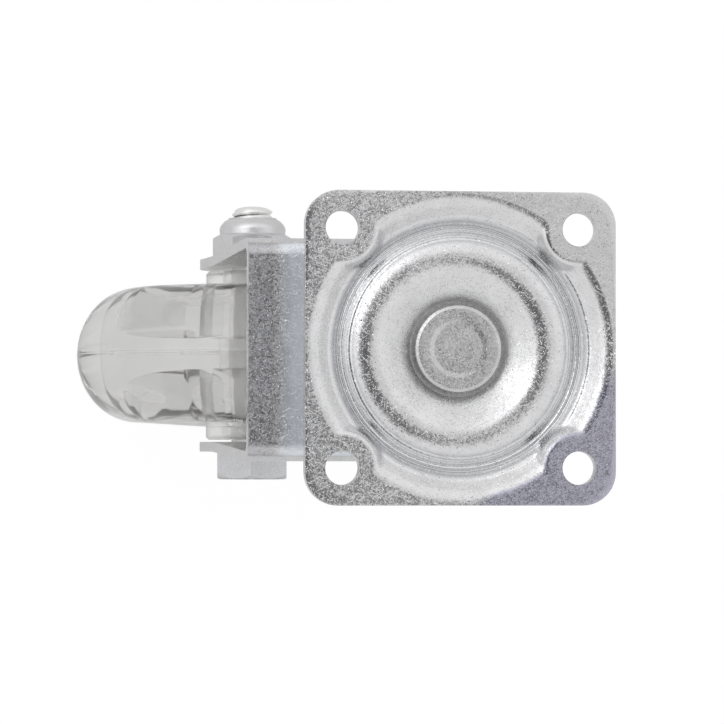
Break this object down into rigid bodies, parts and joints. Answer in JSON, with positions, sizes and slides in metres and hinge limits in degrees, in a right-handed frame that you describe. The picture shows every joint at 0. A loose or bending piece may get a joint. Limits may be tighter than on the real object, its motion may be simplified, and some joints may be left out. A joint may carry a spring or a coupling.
{
  "type": "swivel plate caster",
  "caption": "Light-duty swivel caster: pressed square top plate with a double ball race and kingpin, stamped steel yoke, and a round-tread clear wheel on a bolt with a lock nut.",
  "frame": {"origin": "centre of the plate's top mounting face, on the swivel axis", "axes": "+Z out of the mounting face along the swivel axis, -X the way the wheel trails at rest, +Y towards the lock nut"},
  "size_m": [0.0702, 0.0426, 0.068],
  "materials": {
    "zinc_plate": "bright zinc plated, satin with fine sparkle",
    "race_steel": "polished bearing steel",
    "clear_tread": "clear soft polyurethane, glossy",
    "clear_core": "clear hard plastic, glossy",
    "nylon": "matt natural nylon"
  },
  "bodies": {
    "plate": {"top_plate": "zinc_plate", "kingpin": "zinc_plate", "retainer_cup": "zinc_plate"},
    "yoke": {"yoke": "zinc_plate", "axle_bolt": "zinc_plate", "lock_nut": "zinc_plate", "nylon_ring": "nylon"},
    "wheel": {"wheel_core": "clear_core", "tyre": "clear_tread"},
    "upper_balls": {"upper_ball_01": "race_steel", "upper_ball_02": "race_steel", "upper_ball_03": "race_steel", "upper_ball_04": "race_steel", "upper_ball_05": "race_steel", "upper_ball_06": "race_steel", "upper_ball_07": "race_steel", "upper_ball_08": "race_steel", "upper_ball_09": "race_steel", "upper_ball_10": "race_steel", "upper_ball_11": "race_steel", "upper_ball_12": "race_steel", "upper_ball_13": "race_steel"},
    "lower_balls": {"lower_ball_01": "race_steel", "lower_ball_02": "race_steel", "lower_ball_03": "race_steel", "lower_ball_04": "race_steel", "lower_ball_05": "race_steel", "lower_ball_06": "race_steel", "lower_ball_07": "race_steel", "lower_ball_08": "race_steel", "lower_ball_09": "race_steel", "lower_ball_10": "race_steel"}
  },
  "joints": [
    {"name": "swivel", "type": "hinge", "parent": "plate", "child": "yoke", "pos_m": [0, 0, 0], "axis": [0, 0, 1], "continuous": true},
    {"name": "wheel_spin", "type": "hinge", "parent": "yoke", "child": "wheel", "pos_m": [-0.0238, 0, -0.0426], "axis": [0, 1, 0], "continuous": true},
    {"name": "upper_ball_orbit", "type": "hinge", "parent": "plate", "child": "upper_balls", "pos_m": [0, 0, 0], "axis": [0, 0, 1], "continuous": true},
    {"name": "lower_ball_orbit", "type": "hinge", "parent": "plate", "child": "lower_balls", "pos_m": [0, 0, 0], "axis": [0, 0, 1], "continuous": true}
  ],
  "couplings": [
    {"joint": "upper_ball_orbit", "follows": "swivel", "ratio": 0.5},
    {"joint": "lower_ball_orbit", "follows": "swivel", "ratio": 0.5}
  ]
}
